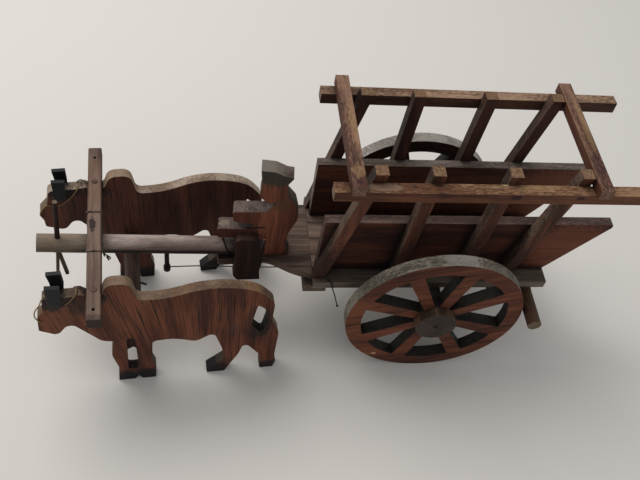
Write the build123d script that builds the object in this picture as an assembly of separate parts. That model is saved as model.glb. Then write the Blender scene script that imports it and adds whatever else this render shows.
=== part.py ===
"""A handmade wooden toy bullock cart: two flat cut-out bullocks under a yoke, a round pole,
a seated driver and a cart with pierced wheels, board sides, slanting stakes and rails.

Millimetres, +Z up, ground at Z = 0, +X towards the cart's rear, +Y to the right side of the
cart. The origin is under the middle of the whole toy. The cart is drawn about its own axle
and the team about the place where the pole passes under the yoke. Each is then set in its
place: the toy is put together by eye, so the team stands a little askew to the cart.
"""
import math
import os

from build123d import *

# Places of the two halves
AXLE_X = 82.0
CART_Y = 11.0
TEAM_X = -174.0
TEAM_Y = -10.5
TEAM_YAW = 4.2

# Wheels and axle
WHEEL_R = 70.0
WHEEL_T = 10.0
WHEEL_FACE_Y = 67.5
RIM_W = 12.0
SPOKE_HUB_W = 8.5
SPOKE_RIM_W = 12.0
WINDOW_IN_R = 15.7
NAVE_R = 16.0
NAVE_CORE_R = 10.0
NAVE_OUT = 7.5
NAVE_IN = 3.5
NAVE_CAP = 2.5
JOURNAL_R = 4.0
JOURNAL_GAP = 0.08
AXLE_BEAM_W = 14.0
AXLE_BEAM_END_Y = 53.0
PIN_R = 0.8
PIN_HEAD_R = 1.7
PIN_HEAD_T = 0.8
PIN_IN = 8.0
PIN_GAP = 0.06

# Bed of the cart
BED_TOP = 85.9
BOARD = 7.6
SILL_OUT_Y = 43.5
SILL_W = 11.9
BED_FRONT_X = -95.3
BED_REAR_X = 93.9
FLOOR_PLANKS = 4
PLANK_GAP = 0.4
BEARER_T = 8.0
BEARER_END_Y = 41.0
FRONT_BEARER_X = -93.0
FRONT_BEARER_W = 18.0
REAR_BEARER_X = 55.0
REAR_BEARER_W = 12.0
TAIL_BAR_X = 79.8
TAIL_BAR_R = 5.7
TAIL_BAR_END_Y = 76.5
TAIL_BAR_END_R = 5.5
TONGUE_TIP_HALF = 6.5
TONGUE_TIP_X = 88.0
TONGUE_NECK_X = 126.0

# Sides of the cart, each drawn upright from the bed and then leant outwards
SIDE_FOOT_Y = 30.7
SIDE_LEAN = 1.6
PANEL_FRONT_X = -92.8
PANEL_TOP_REAR_X = 130.6
PANEL_FOOT_REAR_X = 92.0
PANEL_H = 58.6
PANEL_NOSE = 3.5
STAKE_W = 9.0
STAKE_H = 122.0
RAIL_W = 9.1
RAIL_Z = 105.4
RAIL_FRONT_X = -96.0
RAIL_REAR_X = 134.4
CROSSBAR_W = 9.6
CROSSBAR_T = 8.0
CROSSBAR_END_Y = 55.0
CROSSBAR_X = {"front": -80.6, "rear": 91.9}

# Pole, yoke and what hangs on them, in the team's own frame
POLE_R = 7.0
POLE_FRONT_X = -42.6
POLE_TAIL_X = 120.8
POLE_Z = 105.0
POLE_RISE = 6.2
POLE_NOSE_R = 6.8
POLE_NOSE_L = 12.0
YOKE_X = -1.4
YOKE_W = 10.0
YOKE_T = 9.5
YOKE_Z = 112.0
YOKE_NEAR_Y = -77.0
YOKE_FAR_Y = 81.4
YOKE_TURN = -0.6
NECK_PEG_R = 2.2
NECK_PEG_DEEP = 10.0
NECK_PEG_NEAR_Y = -52.4
NECK_PEG_FAR_Y = 46.4
YOKE_HOLE_NEAR_Y = -68.6
YOKE_HOLE_FAR_Y = 71.1
YOKE_HOLE_R = 1.1
NOSE_PEG_R = 1.8
NOSE_PEG_X = -28.0
NOSE_PEG_LEAN = -2.3
NOSE_PEG_UP = 45.5
NOSE_PEG_DOWN = 8.0
PROP_W = 2.4
PROP_LONG = 31.0
PROP_SPLAY = 13.0
HANGER_R = 1.8
KNOB_R = 2.75
KNOB_H = 4.6
HANGER_X = 49.5
KNOB_Z = 70.3

# Bullocks
BULLOCK_T = 7.9
HORN_T = 3.0
DOWEL_R = 6.0
DOWEL_X = 22.7
DOWEL_Z = 56.0
NAIL_R = 0.8

# Driver
DRIVER_T = 11.0
DRIVER_SET_BACK = 1.9
LEG_T = 7.0

CART = Pos(AXLE_X, CART_Y, 0)
TEAM = Pos(TEAM_X, TEAM_Y, 0) * Rot(0, 0, TEAM_YAW)

parts = {}


def box(x0, x1, y0, y1, z0, z1):
    """A plain squared piece between two corners."""
    block = Box(x1 - x0, y1 - y0, z1 - z0)
    return Pos((x0 + x1) / 2, (y0 + y1) / 2, (z0 + z1) / 2) * block


def outline(points, closed=True):
    """A face from rows of (along, up, corner radius)."""
    corners = [(along, up) for along, up, _ in points]
    radii = [radius for _, _, radius in points]
    with BuildSketch() as sketch:
        with BuildLine():
            FilletPolyline(*corners, radius=radii, close=closed)
        make_face()
    return sketch.sketch


def upright(sketch, thickness, y_mid=0.0):
    """A board whose outline is drawn in X and Z, with its middle plane at y_mid."""
    board = extrude(sketch, thickness / 2, both=True)
    return Pos(0, y_mid, 0) * (Rot(90, 0, 0) * board)


def rod(start, end, radius):
    """A round stick between two points."""
    line = Vector(*end) - Vector(*start)
    plane = Plane(origin=start, z_dir=line)
    return plane * Cylinder(radius, line.length, align=(Align.CENTER, Align.CENTER, Align.MIN))


# Wheels

# middle of each spoke, in degrees from the rear round to the top: set out by eye
SPOKE_ANGLES = [29, 74, 116, 161, 208, 252, 300, 341]


def spoke_edge(angle, side, radius, width):
    """A point on one side of a spoke, at a distance from the wheel's middle."""
    turn = math.radians(angle) + side * math.asin(width / 2 / radius)
    return radius * math.cos(turn), radius * math.sin(turn)


def wheel_window(angle, next_angle):
    """The sawn opening between a spoke and the next one."""
    outer = WHEEL_R - RIM_W
    hub_a = spoke_edge(angle, 1, WINDOW_IN_R, SPOKE_HUB_W)
    rim_a = spoke_edge(angle, 1, outer, SPOKE_RIM_W)
    rim_b = spoke_edge(next_angle, -1, outer, SPOKE_RIM_W)
    hub_b = spoke_edge(next_angle, -1, WINDOW_IN_R, SPOKE_HUB_W)
    middle = math.radians((angle + next_angle) / 2)
    crown = (outer * math.cos(middle), outer * math.sin(middle))
    with BuildSketch() as window:
        with BuildLine():
            Line(hub_a, rim_a)
            ThreePointArc(rim_a, crown, rim_b)
            Line(rim_b, hub_b)
            Line(hub_b, hub_a)
        make_face()
    return window.sketch


def wheel_board():
    """A disc with an opening between each two spokes, so that it stays one board."""
    board = Cylinder(WHEEL_R, WHEEL_T, align=(Align.CENTER, Align.CENTER, Align.MAX))
    board = board - Cylinder(NAVE_CORE_R, 3 * WHEEL_T)
    for angle, next_angle in zip(SPOKE_ANGLES, SPOKE_ANGLES[1:] + [SPOKE_ANGLES[0] + 360]):
        board = board - extrude(wheel_window(angle, next_angle), -WHEEL_T)
    return board


def nave():
    """The turned middle of a wheel, blind at its outer end and pierced there by the pin."""
    inner = -WHEEL_T - NAVE_IN
    core = rod((0, 0, inner), (0, 0, 0), NAVE_CORE_R)
    boss = rod((0, 0, 0), (0, 0, NAVE_OUT), NAVE_R)
    bore = rod((0, 0, inner), (0, 0, NAVE_OUT - NAVE_CAP), JOURNAL_R + JOURNAL_GAP)
    pin_hole = rod((0, 0, inner), (0, 0, NAVE_OUT), PIN_R + PIN_GAP)
    return core + boss - bore - pin_hole


def out_along_y(side):
    """Turns a piece drawn along +Z so that +Z points out of the given side of the cart."""
    return Rot(-90 * side, 0, 0)


for name, side in (("left", -1), ("right", 1)):
    seat = CART * Pos(0, side * WHEEL_FACE_Y, WHEEL_R) * out_along_y(side)
    parts[f"wheel_{name}"] = seat * wheel_board()
    parts[f"nave_{name}"] = seat * nave()


# Axle, with a round journal at each end and a pin that holds each wheel on

def axle():
    journal_end = WHEEL_FACE_Y + NAVE_OUT - NAVE_CAP - 0.5
    beam = box(
        -AXLE_BEAM_W / 2, AXLE_BEAM_W / 2,
        -AXLE_BEAM_END_Y, AXLE_BEAM_END_Y,
        WHEEL_R - AXLE_BEAM_W / 2 - 1, BED_TOP - BOARD,
    )
    journal = Rot(90, 0, 0) * Cylinder(JOURNAL_R, 2 * journal_end)
    pin_hole = Rot(90, 0, 0) * Cylinder(PIN_R, 4 * journal_end)
    core = Rot(90, 0, 0) * Cylinder(PIN_R + 1, 2 * (journal_end - PIN_IN))
    turned = beam + Pos(0, 0, WHEEL_R) * journal
    return turned - Pos(0, 0, WHEEL_R) * (pin_hole - core)


def wheel_pin(side):
    shank_in = WHEEL_FACE_Y + NAVE_OUT - NAVE_CAP - 0.5 - PIN_IN
    head_in = WHEEL_FACE_Y + NAVE_OUT + 0.15
    shank = rod((0, side * shank_in, WHEEL_R), (0, side * head_in, WHEEL_R), PIN_R)
    head = rod(
        (0, side * head_in, WHEEL_R),
        (0, side * (head_in + PIN_HEAD_T), WHEEL_R),
        PIN_HEAD_R,
    )
    return shank + head


parts["axle"] = CART * axle()
parts["wheel_pins"] = CART * Compound(children=[wheel_pin(-1), wheel_pin(1)])


# Bed

bed_under = BED_TOP - BOARD
for name, side in (("left", -1), ("right", 1)):
    sill = box(BED_FRONT_X, BED_REAR_X, SILL_OUT_Y - SILL_W, SILL_OUT_Y, bed_under, BED_TOP)
    parts[f"sill_{name}"] = CART * (sill if side > 0 else mirror(sill, Plane.XZ))

floor_half = SILL_OUT_Y - SILL_W - PLANK_GAP
plank_pitch = (2 * floor_half + PLANK_GAP) / FLOOR_PLANKS
planks = []
for index in range(FLOOR_PLANKS):
    plank_y = -floor_half + index * plank_pitch
    planks.append(
        box(BED_FRONT_X, BED_REAR_X, plank_y, plank_y + plank_pitch - PLANK_GAP, bed_under, BED_TOP)
    )
parts["floor_planks"] = CART * Compound(children=planks)


def bearer(x_mid, width):
    return box(
        x_mid - width / 2, x_mid + width / 2,
        -BEARER_END_Y, BEARER_END_Y,
        bed_under - BEARER_T, bed_under,
    )


parts["bearer_front"] = CART * bearer(FRONT_BEARER_X, FRONT_BEARER_W)
parts["bearer_rear"] = CART * bearer(REAR_BEARER_X, REAR_BEARER_W)
tail_bar_z = bed_under - TAIL_BAR_R
tail_bar = rod(
    (TAIL_BAR_X, -SILL_OUT_Y, tail_bar_z),
    (TAIL_BAR_X, SILL_OUT_Y, tail_bar_z),
    TAIL_BAR_R,
)
tail_bar_ends = rod(
    (TAIL_BAR_X, -TAIL_BAR_END_Y, tail_bar_z),
    (TAIL_BAR_X, TAIL_BAR_END_Y, tail_bar_z),
    TAIL_BAR_END_R,
)
parts["tail_bar"] = CART * (tail_bar + tail_bar_ends)


def team_to_cart(x, y):
    """A place on the pole's line, given in the team's frame, as seen from the cart."""
    turn = math.radians(TEAM_YAW)
    place_x = TEAM_X - AXLE_X + x * math.cos(turn) - y * math.sin(turn)
    place_y = TEAM_Y - CART_Y + x * math.sin(turn) + y * math.cos(turn)
    return place_x, place_y


def tongue():
    """The board that narrows from the bed's width to the pole, sawn to two curves."""
    tip_near = team_to_cart(TONGUE_TIP_X, -TONGUE_TIP_HALF)
    tip_far = team_to_cart(TONGUE_TIP_X, TONGUE_TIP_HALF)
    neck_near = team_to_cart(TONGUE_NECK_X, -TONGUE_TIP_HALF)
    neck_far = team_to_cart(TONGUE_NECK_X, TONGUE_TIP_HALF)
    root_x = BED_FRONT_X - 0.2
    # along, across, corner radius
    rows = [
        (root_x, -36.0, 0),
        (-112.0, -29.4, 30),
        (neck_near[0], neck_near[1], 25),
        (tip_near[0], tip_near[1], 2),
        (tip_far[0], tip_far[1], 2),
        (neck_far[0], neck_far[1], 25),
        (-113.0, 22.0, 20),
        (root_x, 34.0, 0),
    ]
    return Pos(0, 0, bed_under) * extrude(outline(rows), BOARD)


parts["tongue_board"] = CART * tongue()


# Sides. Up is measured from the bed. The panel is inside, then the stakes, then the rail.

# foot, top: middle of each stake along the cart, from front to rear
STAKES = [
    (-91.3, -63.9),
    (-30.7, -24.6),
    (21.8, 30.1),
    (57.0, 82.1),
]


def lean_out(piece, side):
    """Leans a piece drawn outwards from y = 0, sets it on the bed and trims its foot."""
    leant = Pos(0, SIDE_FOOT_Y, BED_TOP) * Rot(-SIDE_LEAN, 0, 0) * piece
    leant = leant - box(-200, 200, -20, 100, BED_TOP - 20, BED_TOP)
    return CART * (leant if side > 0 else mirror(leant, Plane.XZ))


def panel():
    # along, up, corner radius
    rows = [
        (PANEL_FRONT_X, -1, 0),
        (PANEL_FRONT_X, PANEL_H, 0),
        (PANEL_TOP_REAR_X, PANEL_H, 1),
        (PANEL_TOP_REAR_X, PANEL_H - PANEL_NOSE, 1),
        (PANEL_FOOT_REAR_X, 0, 0),
        (PANEL_FOOT_REAR_X, -1, 0),
    ]
    return upright(outline(rows), BOARD, -BOARD / 2)


def stake(foot_x, top_x):
    half = STAKE_W / 2
    drop = (top_x - foot_x) / STAKE_H
    rows = [
        (foot_x - half - drop, -1, 0),
        (top_x - half, STAKE_H, 0),
        (top_x + half, STAKE_H, 0),
        (foot_x + half - drop, -1, 0),
    ]
    return upright(outline(rows), STAKE_W, STAKE_W / 2)


for name, side in (("left", -1), ("right", 1)):
    parts[f"panel_{name}"] = lean_out(panel(), side)
    for number, (foot_x, top_x) in enumerate(STAKES, start=1):
        parts[f"stake_{name}_{number}"] = lean_out(stake(foot_x, top_x), side)
    rail = box(RAIL_FRONT_X, RAIL_REAR_X, STAKE_W, STAKE_W + RAIL_W, RAIL_Z, RAIL_Z + RAIL_W)
    parts[f"rail_{name}"] = lean_out(rail, side)

rail_top = BED_TOP + (RAIL_Z + RAIL_W) * math.cos(math.radians(SIDE_LEAN))
for name, bar_x in CROSSBAR_X.items():
    bar = box(
        bar_x - CROSSBAR_W / 2, bar_x + CROSSBAR_W / 2,
        -CROSSBAR_END_Y, CROSSBAR_END_Y,
        rail_top - 0.45, rail_top - 0.45 + CROSSBAR_T,
    )
    for side in (-1, 1):
        rail_body = CART.inverse() * parts["rail_left" if side < 0 else "rail_right"]
        bar = bar - rail_body
    parts[f"crossbar_{name}"] = CART * bar


# Pole

pole_slope = math.tan(math.radians(POLE_RISE))


def pole_z(x):
    """Height of the pole's middle line at a place along the team."""
    return POLE_Z - x * pole_slope


pole_shaft = rod(
    (POLE_FRONT_X + POLE_NOSE_L, 0, pole_z(POLE_FRONT_X + POLE_NOSE_L)),
    (POLE_TAIL_X, 0, pole_z(POLE_TAIL_X)),
    POLE_R,
)
pole_nose = rod(
    (POLE_FRONT_X, 0, pole_z(POLE_FRONT_X)),
    (POLE_FRONT_X + POLE_NOSE_L, 0, pole_z(POLE_FRONT_X + POLE_NOSE_L)),
    POLE_NOSE_R,
)
seat_cut = box(60, 140, -30, 30, BED_TOP - 30, BED_TOP)


# Nose peg, prop and hanger stand square to the pole

def square_to_pole(x):
    return Pos(x, 0, pole_z(x)) * Rot(0, POLE_RISE, 0)


peg_seat = square_to_pole(NOSE_PEG_X)
nose_peg = Pos(0, 0, (NOSE_PEG_UP - NOSE_PEG_DOWN) / 2) * Cylinder(
    NOSE_PEG_R, NOSE_PEG_UP + NOSE_PEG_DOWN
)
nose_peg = peg_seat * Rot(0, NOSE_PEG_LEAN, 0) * nose_peg
hanger_top = pole_z(HANGER_X) - POLE_R + 4
hanger = rod((HANGER_X, 0, KNOB_Z), (HANGER_X, 0, hanger_top), HANGER_R)
knob = Pos(HANGER_X, 0, KNOB_Z) * Cylinder(KNOB_R, KNOB_H)
hanging_peg = hanger + knob

pole = pole_shaft + pole_nose - seat_cut - nose_peg - hanging_peg
parts["pole"] = TEAM * pole
parts["nose_peg"] = TEAM * nose_peg
parts["hanging_peg"] = TEAM * hanging_peg


def prop_leg(splay):
    """One leg of the forked prop under the pole's nose."""
    top = -POLE_R + 0.2
    leg = Pos(0, 0, top - PROP_LONG / 2) * Box(PROP_W, PROP_W, PROP_LONG)
    return Pos(0, 0, top) * Rot(0, splay, 0) * Pos(0, 0, -top) * leg


prop = prop_leg(0) + prop_leg(-PROP_SPLAY)
parts["prop_sticks"] = TEAM * (peg_seat * prop - pole - nose_peg)


# Yoke, its pegs and the holes near its ends

# side: middle of the board across the team at the yoke, turn of the board, forward shift
BOARDS = {
    "left": (-52.55, 0.36, 0.0),
    "right": (45.12, 3.19, 3.17),
}
YOKE = Pos(YOKE_X, 0, YOKE_Z) * Rot(0, 0, YOKE_TURN)
yoke_block = YOKE * box(-YOKE_W / 2, YOKE_W / 2, YOKE_NEAR_Y, YOKE_FAR_Y, 0, YOKE_T)
yoke = YOKE.inverse() * yoke_block
yoke = YOKE * chamfer(yoke.edges().filter_by(Axis.Y), 0.8)
neck_pegs = []
for peg_y in (NECK_PEG_NEAR_Y, NECK_PEG_FAR_Y):
    peg = YOKE * rod((0, peg_y, -NECK_PEG_DEEP), (0, peg_y, YOKE_T + 0.4), NECK_PEG_R)
    neck_pegs.append(peg)
    yoke = yoke - peg
for hole_y in (YOKE_HOLE_NEAR_Y, YOKE_HOLE_FAR_Y):
    yoke = yoke - YOKE * rod((0, hole_y, -1), (0, hole_y, YOKE_T + 1), YOKE_HOLE_R)
yoke = yoke - pole_shaft
parts["yoke_bar"] = TEAM * yoke
parts["neck_pegs"] = TEAM * Compound(children=neck_pegs)


# Bullocks, each cut from one board. Their backs, bellies and legs are alike, their heads differ.

# along, up, corner radius: from the hump over the back to the tail, the legs and the throat
BACK_AND_LEGS = [
    (-10.8, 121.8, 0),
    (-6.8, 118.0, 0),
    (0.8, 118.0, 0),
    (3.6, 121.2, 0),
    (6.4, 130.6, 7),
    (22.2, 130.8, 8),
    (26.6, 109.9, 6),
    (46.0, 109.6, 60),
    (80.0, 121.6, 60),
    (112.5, 111.4, 30),
    (125.4, 94.0, 14),
    (124.8, 70.0, 8),
    (131.6, 53.0, 20),
    (130.8, 20.0, 20),
    (132.4, 9.4, 4),
    (130.8, 0.0, 0),
    (120.0, 0.0, 0),
    (118.6, 21.5, 8),
    (105.2, 42.0, 3),
    (101.2, 25.0, 14),
    (91.0, 0.0, 0),
    (77.2, 0.0, 0),
    (76.6, 5.0, 2),
    (89.8, 18.8, 2.5),
    (88.6, 34.0, 6),
    (81.4, 60.0, 4),
    (67.8, 49.6, 6),
    (52.0, 56.4, 30),
    (35.4, 54.8, 4),
    (34.4, 27.0, 14),
    (37.4, 16.0, 6),
    (36.6, 0.0, 0),
    (26.4, 0.0, 0),
    (23.6, 4.8, 0),
    (20.4, 0.0, 0),
    (8.0, 0.0, 0),
    (9.2, 19.5, 10),
    (4.8, 39.0, 20),
    (7.4, 58.8, 0),
    (-1.0, 61.0, 8),
]
# the same for each head, from the throat over the nose to the neck
HEADS = {
    "left": [
        (-21.0, 88.4, 5),
        (-30.4, 73.6, 4),
        (-42.6, 81.2, 2),
        (-41.6, 98.0, 5),
        (-37.2, 103.5, 5),
        (-36.2, 119.4, 3),
        (-16.0, 119.8, 10),
    ],
    "right": [
        (-21.2, 87.6, 5),
        (-30.0, 74.4, 5),
        (-44.0, 80.4, 2.5),
        (-44.6, 88.0, 1.5),
        (-46.8, 93.2, 1.5),
        (-46.2, 98.0, 2),
        (-40.4, 105.5, 5),
        (-38.0, 120.2, 4),
        (-16.0, 120.4, 10),
    ],
}
# The cut between the front legs is sawn right through only below the web.
LEG_CUT = [
    (16.0, 16.4, 2),
    (16.8, 61.0, 2.5),
    (22.6, 61.0, 2.5),
    (24.2, 16.4, 2),
]
LEG_WEB = [
    (10.0, 36.5, 0),
    (21.4, 44.4, 1),
    (24.4, 40.0, 0),
    (30.0, 70.0, 0),
    (10.0, 70.0, 0),
]
RECESS_DEEP = 3.0
# opening between tail and rump
TAIL_SLOT = [
    (113.0, 92.6, 0),
    (118.6, 87.4, 2),
    (120.9, 71.5, 6),
    (118.3, 53.4, 1.5),
    (109.2, 66.8, 2),
    (111.8, 86.5, 6),
]


def bullock(head):
    """One board, with its middle plane at y = 0."""
    with BuildSketch() as sketch:
        add(outline(BACK_AND_LEGS + head))
        add(outline(LEG_CUT) - outline(LEG_WEB), mode=Mode.SUBTRACT)
        add(outline(TAIL_SLOT), mode=Mode.SUBTRACT)
    recess = upright(outline(LEG_CUT), RECESS_DEEP, (RECESS_DEEP - BULLOCK_T) / 2)
    return upright(sketch.sketch, BULLOCK_T) - recess


# A horn is a little board on each side of the head.
# along and down from the middle of its top edge, corner radius
HORN_OUTLINE = [
    (-4.9, 0.0, 0),
    (-4.2, -9.0, 12),
    (-4.5, -16.0, 5),
    (-2.4, -21.4, 2.5),
    (3.0, -20.6, 3),
    (4.6, -13.0, 6),
    (4.8, -0.5, 0),
]
# bullock and side: along and up of the top edge, lean of the foot to the rear
HORNS = {
    ("left", "outer"): (-27.7, 134.8, -2.0),
    ("left", "inner"): (-26.9, 136.0, 5.0),
    ("right", "inner"): (-29.7, 132.4, -2.5),
    ("right", "outer"): (-28.9, 133.0, 2.5),
}

for name, (board_y, board_turn, board_x) in BOARDS.items():
    seat = Pos(board_x, board_y, 0) * Rot(0, 0, board_turn)
    board = seat * bullock(HEADS[name]) - yoke_block - neck_pegs[0] - neck_pegs[1]
    parts[f"bullock_{name}"] = TEAM * board
    for place in ("outer", "inner"):
        horn_x, horn_top, lean = HORNS[name, place]
        outwards = (-1 if name == "left" else 1) * (1 if place == "outer" else -1)
        horn = upright(outline(HORN_OUTLINE), HORN_T, outwards * (BULLOCK_T + HORN_T) / 2)
        horn = Pos(horn_x, 0, horn_top) * Rot(0, -lean, 0) * horn
        parts[f"horn_{name}_{place}"] = TEAM * (seat * horn)

# The dowel is cut off flush with the boards' inner faces.
dowel = rod((DOWEL_X, -60, DOWEL_Z), (DOWEL_X, 60, DOWEL_Z), DOWEL_R)
for board_y, board_turn, board_x in BOARDS.values():
    outwards = math.copysign(1, board_y)
    waste = box(-40, 80, -40, 40, 0, 120)
    inner_face = outwards * (40 - BULLOCK_T / 2)
    dowel = dowel - Pos(board_x, board_y, 0) * Rot(0, 0, board_turn) * Pos(0, inner_face, 0) * waste
nail = rod((DOWEL_X + 2, -1.0, DOWEL_Z), (DOWEL_X + 10.5, -5.0, DOWEL_Z), NAIL_R)
parts["team_dowel"] = TEAM * (dowel - nail)
parts["dowel_nail"] = TEAM * nail


# Driver: a cut-out body that sits on the tongue board, and a leg on each side of the pole

# along, up, corner radius
DRIVER_OUTLINE = [
    (123.0, BED_TOP, 0),
    (123.0, 106.4, 0),
    (99.0, 110.8, 3),
    (87.2, 111.6, 2),
    (86.0, 122.6, 2),
    (106.0, 120.0, 3),
    (114.8, 124.6, 0),
    (98.0, 129.8, 2),
    (96.6, 140.4, 2),
    (121.2, 138.6, 0),
    (128.6, 148.6, 0),
    (122.4, 148.0, 3),
    (115.2, 156.0, 4),
    (116.4, 168.0, 2),
    (114.6, 183.0, 0),
    (125.0, 181.0, 8),
    (133.0, 175.6, 4),
    (139.0, 174.0, 1),
    (134.6, 167.0, 2),
    (136.0, 154.5, 4),
    (142.4, 145.5, 8),
    (146.4, 130.0, 10),
    (140.0, 112.0, 20),
    (139.0, 97.0, 14),
    (142.8, BED_TOP, 0),
]
LEG_OUTLINE = [
    (99.2, 116.0, 4),
    (117.0, 114.5, 0),
    (121.8, 92.0, 8),
    (119.8, 76.0, 3),
    (120.8, 64.6, 0),
    (103.0, 65.4, 3),
    (99.4, 71.0, 4),
    (100.6, 92.0, 12),
]
# sawn out of square, so that the body's right face is set back from its left face
sawn_length = math.hypot(DRIVER_T, DRIVER_SET_BACK)
driver = extrude(outline(DRIVER_OUTLINE), sawn_length, dir=(DRIVER_SET_BACK, 0, -DRIVER_T))
driver = Pos(0, -DRIVER_T / 2, 0) * (Rot(90, 0, 0) * driver)
parts["driver_body"] = TEAM * driver
legs = []
for side in (-1, 1):
    leg = upright(outline(LEG_OUTLINE), LEG_T, side * (DRIVER_T + LEG_T) / 2)
    groove = rod(
        (90, 0, pole_z(90)),
        (130, 0, pole_z(130)),
        POLE_R,
    )
    legs.append(leg - groove - TEAM.inverse() * parts["tongue_board"])
parts["driver_legs"] = TEAM * Compound(children=legs)


os.makedirs("parts", exist_ok=True)
for node, shape in parts.items():
    export_step(shape, f"parts/{node}.step")
print(len(parts), "nodes")
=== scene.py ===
"""Finishes a handmade wooden toy bullock cart: stained and weathered wood, black paint,
binding wire and halter threads, on a pale floor in soft light."""
import math
from typing import NamedTuple

import bmesh
import bpy
from bpy.props import FloatProperty, FloatVectorProperty, PointerProperty
from bpy.types import Operator, Panel, PropertyGroup
from mathutils import Matrix, Vector


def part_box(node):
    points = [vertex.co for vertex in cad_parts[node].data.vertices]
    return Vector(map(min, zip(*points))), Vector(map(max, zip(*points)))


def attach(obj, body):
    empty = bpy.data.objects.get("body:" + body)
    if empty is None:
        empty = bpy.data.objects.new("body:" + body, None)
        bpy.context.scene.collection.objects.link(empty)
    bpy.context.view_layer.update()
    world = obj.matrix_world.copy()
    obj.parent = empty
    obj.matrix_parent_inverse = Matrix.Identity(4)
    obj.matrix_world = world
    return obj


bl_info = {
    "name": "Toy Bullock Cart",
    "version": (1, 0, 0),
    "blender": (4, 5, 0),
    "location": "View3D > Sidebar > Bullock Cart",
    "description": "Finishes a handmade wooden toy bullock cart in stained and weathered wood",
    "category": "Object",
}

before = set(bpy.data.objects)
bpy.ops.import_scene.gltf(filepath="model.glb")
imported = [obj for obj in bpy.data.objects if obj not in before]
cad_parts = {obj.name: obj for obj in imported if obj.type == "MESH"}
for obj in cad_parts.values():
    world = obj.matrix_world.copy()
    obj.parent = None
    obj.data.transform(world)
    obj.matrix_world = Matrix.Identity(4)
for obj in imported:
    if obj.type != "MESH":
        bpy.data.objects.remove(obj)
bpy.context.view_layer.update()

MM = 0.001

# Places of the two halves of the toy, in millimetres and degrees
CART_PLACE = (82.0, 11.0, 0.0)
TEAM_PLACE = (-174.0, -10.5, 0.0)
TEAM_YAW = 4.2
# middle of each bullock's board in the team's frame, and its turn
BOARD_PLACE = {"left": (0.0, -52.55, 0.0), "right": (3.17, 45.12, 0.0)}
BOARD_TURN = {"left": 0.36, "right": 3.19}
# height about which the leaning grain of the upright boards turns
LEAN_MIDDLE = 70.0

# How often each layer of the grain changes in a millimetre: along a board, and across it
TONE, VEIN, PORES, FIBRE = (0.010, 0.07), (0.009, 0.5), (0.021, 1.45), (0.06, 2.4)
# where in its noise each layer begins to show, and where it shows fully
TONE_BAND, VEIN_BAND, PORE_BAND, FIBRE_BAND = (0.36, 0.64), (0.5, 0.7), (0.56, 0.62), (0.32, 0.68)
PATCH_BAND, SPECK_BAND = (0.42, 0.58), (0.55, 0.7)
# how squarely a stained face and a sawn end look along their axis, from none of it to all
FACE_BAND, CUT_BAND = (0.55, 0.8), (0.85, 0.95)
# how nearly a softened corner looks the way of its face, where it is rubbed most and least
RUBBED_BAND = (0.7, 0.999)
# how far apart in the noise two pieces of wood lie, so that no two look alike
PIECE_APART = (31.7, 17.3, 5.1)
# what fibre takes off the colour, and the depth and the strength of the relief
FIBRE_SHADE = (0.6, 0.58, 0.56)
GRAIN_DEPTH, PAINT_DEPTH = 0.3 * MM, 0.1 * MM
RELIEF_STRENGTH = 0.9
# where a spot fades out, as a share of its reach, and how far that rim wanders
SOFT_RIM, SHARP_RIM = (0.7, 1.1), (0.97, 1.0)
RIM_WANDER = 1.2
# how far from a corner its painted shade and grime reach, and their colour
CORNER_SHADE_REACH = 16 * MM
CORNER_SHADE_AND_GRIME = (0.004, 0.003, 0.003)

# Heights in millimetres, and how far the spokes reach from the axle
AXLE_HEIGHT, SPOKE_REACH = 70, 65
RAIL_TOP, CROSSBAR_TOP = 200, 208
UNDER_WIRE_END = 72.0

# Stage, in metres and degrees: half the floor's side, the lamp's place and width, and the
# camera's place and its angles down, to the side and about its own line
FLOOR_HALF = 4.0
SKY_TINT = (0.96, 0.98, 1.0)
LAMP_PLACE = (-0.55, 0.55, 1.35)
LAMP_WIDE = 1.1
LAMP_TINT = (1.0, 0.985, 0.96)
CAMERA_PLACE = Vector((-109.6, -391.3, 596.6)) * MM
CAMERA_ANGLES = (50.99, 14.73, 11.85)
SENSOR_WIDE = 36.0


def paint(red, green, blue):
    """A screen colour from 0 to 255 as the plain numbers that a shader takes."""
    def plain(value):
        value /= 255
        return value / 12.92 if value <= 0.04045 else ((value + 0.055) / 1.055) ** 2.4
    return plain(red), plain(green), plain(blue)


# knots and glue marks of the rails and crossbars
KNOT, GLUE = paint(42, 24, 26), paint(164, 132, 92)


def colour(name, about, *screen):
    """A colour that the panel offers, with its default as a screen colour."""
    return FloatVectorProperty(name=name, description=about, subtype="COLOR", size=3, min=0.0, max=1.0,
                               default=paint(*screen))


class ToyColours(PropertyGroup):
    """Colours of the toy's woods, paint, wire and thread"""

    stain_light: colour("Stain, light", "Red-brown stain where it lies thin", 122, 70, 47)
    stain_dark: colour("Stain, dark", "Red-brown stain where it lies thick", 82, 43, 30)
    streak: colour("Streak", "Dark open grain in the stained boards", 26, 13, 10)
    sawn_light: colour("Sawn edge, light", "Near bullock's sawn edge where it is dry", 132, 109, 89)
    sawn_dark: colour("Sawn edge, dark", "Near bullock's sawn edge where it is brown", 98, 77, 62)
    weathered: colour("Weathered wood", "Pinkish grey wood of the pole", 182, 166, 158)
    weathered_dark: colour("Weathered wood, dark", "Darker wood of the pole", 124, 107, 99)
    tan_light: colour("Rail, worn", "Worn top of the near rail and rubbed corners of the crossbars",
                      150, 116, 86)
    tan_dark: colour("Rail, stained", "Orange-brown sides of the crossbars", 98, 62, 43)
    # also used for the painted shade, partly dark stain, on the necks by the yoke
    black_paint_and_shade: colour("Black paint", "Paint on hooves and heads", 26, 24, 26)
    # the lashing wire's pale colour is partly bare wire and partly a painted sheen
    wire: colour("Wire", "Dull dark binding wire", 46, 40, 38)
    pale_wire_and_sheen: colour("Wire, bare", "Bare wire of the yoke's lashing", 120, 106, 92)
    thread: colour("Thread", "Thin tan halter thread", 140, 116, 80)


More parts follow.
